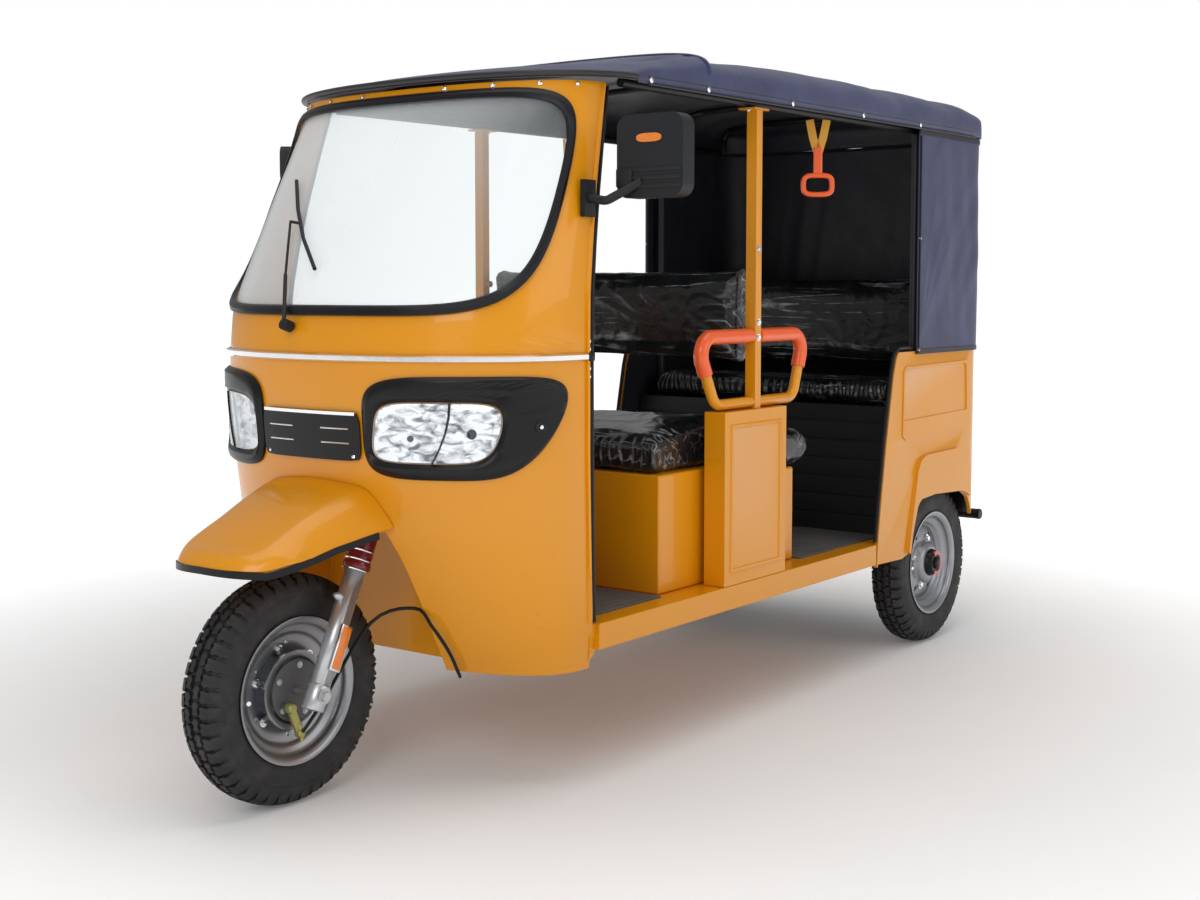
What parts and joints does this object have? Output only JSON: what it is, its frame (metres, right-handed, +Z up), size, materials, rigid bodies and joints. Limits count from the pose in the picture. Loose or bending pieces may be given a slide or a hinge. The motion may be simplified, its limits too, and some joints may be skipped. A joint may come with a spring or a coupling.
{
  "type": "auto rickshaw",
  "caption": "Three-wheeled passenger auto rickshaw with a rounded nose, open cab sides, facing benches, canvas roof and a raked front fork.",
  "frame": {"origin": "on the ground, under the centre of the overall box", "axes": "+X forward, +Y to the vehicle's left, +Z up"},
  "size_m": [2.98, 1.4119, 1.7548],
  "materials": {
    "yellow_paint": "gloss",
    "black_paint": "satin",
    "black_plastic": "fine grain",
    "rubber": "matte",
    "tyre": "matte",
    "glass": "clear",
    "chrome": "polished",
    "lamp": "clear lens over a reflector",
    "vinyl": "black vinyl in clear film",
    "canvas": "waxed canvas",
    "orange_plastic": "gloss",
    "red_lens": "gloss",
    "steel": "satin",
    "castings": "matte",
    "boot_rubber": "satin"
  },
  "bodies": {
    "body": {"chassis_frame": "black_paint", "floor_pan": "yellow_paint", "nose_panel": "yellow_paint", "windscreen_surround": "yellow_paint", "windscreen": "glass", "rubber_seals": "rubber", "chrome_strip": "chrome", "headlamp_bezels": "black_plastic", "headlamp_lenses": "lamp", "grille_panel": "black_plastic", "front_fender": "yellow_paint", "wheel_well": "yellow_paint", "dashboard": "black_plastic", "wiper": "black_plastic", "mirrors": "black_plastic", "seat_box": "yellow_paint", "driver_cushion": "vinyl", "front_backrest": "vinyl", "side_panels": "yellow_paint", "door_posts": "yellow_paint", "hoop_grips": "orange_plastic", "facing_cushion": "vinyl", "rear_bench_base": "black_plastic", "rear_cushion": "vinyl", "rear_backrest": "vinyl", "rear_body": "yellow_paint", "canopy_frame": "black_paint", "canopy_roof": "canvas", "canopy_curtains": "canvas", "hanging_straps": "orange_plastic", "tail_lamps": "red_lens", "rear_bumper": "black_paint", "drive_motor": "castings", "rear_axle": "black_paint"},
    "steering": {"steering_fork": "steel", "handlebar": "black_paint", "fork_boots": "boot_rubber", "brake_plate": "castings", "brake_cable": "rubber"},
    "front_wheel": {"front_tyre": "tyre", "front_rim": "steel"},
    "rear_left_wheel": {"rear_left_tyre": "tyre", "rear_left_rim": "steel"},
    "rear_right_wheel": {"rear_right_tyre": "tyre", "rear_right_rim": "steel"}
  },
  "joints": [
    {"name": "steering_turn", "type": "hinge", "parent": "body", "child": "steering", "pos_m": [1.194, 0, 0.257], "axis": [-0.4226, 0, 0.9063], "range_deg": [-38, 38], "deforming": ["brake_cable"]},
    {"name": "front_wheel_spin", "type": "hinge", "parent": "steering", "child": "front_wheel", "pos_m": [1.233, 0, 0.257], "axis": [0, 1, 0], "continuous": true},
    {"name": "rear_left_wheel_spin", "type": "hinge", "parent": "body", "child": "rear_left_wheel", "pos_m": [-1.1, 0.418, 0.257], "axis": [0, 1, 0], "continuous": true},
    {"name": "rear_right_wheel_spin", "type": "hinge", "parent": "body", "child": "rear_right_wheel", "pos_m": [-1.1, -0.418, 0.257], "axis": [0, 1, 0], "continuous": true}
  ]
}
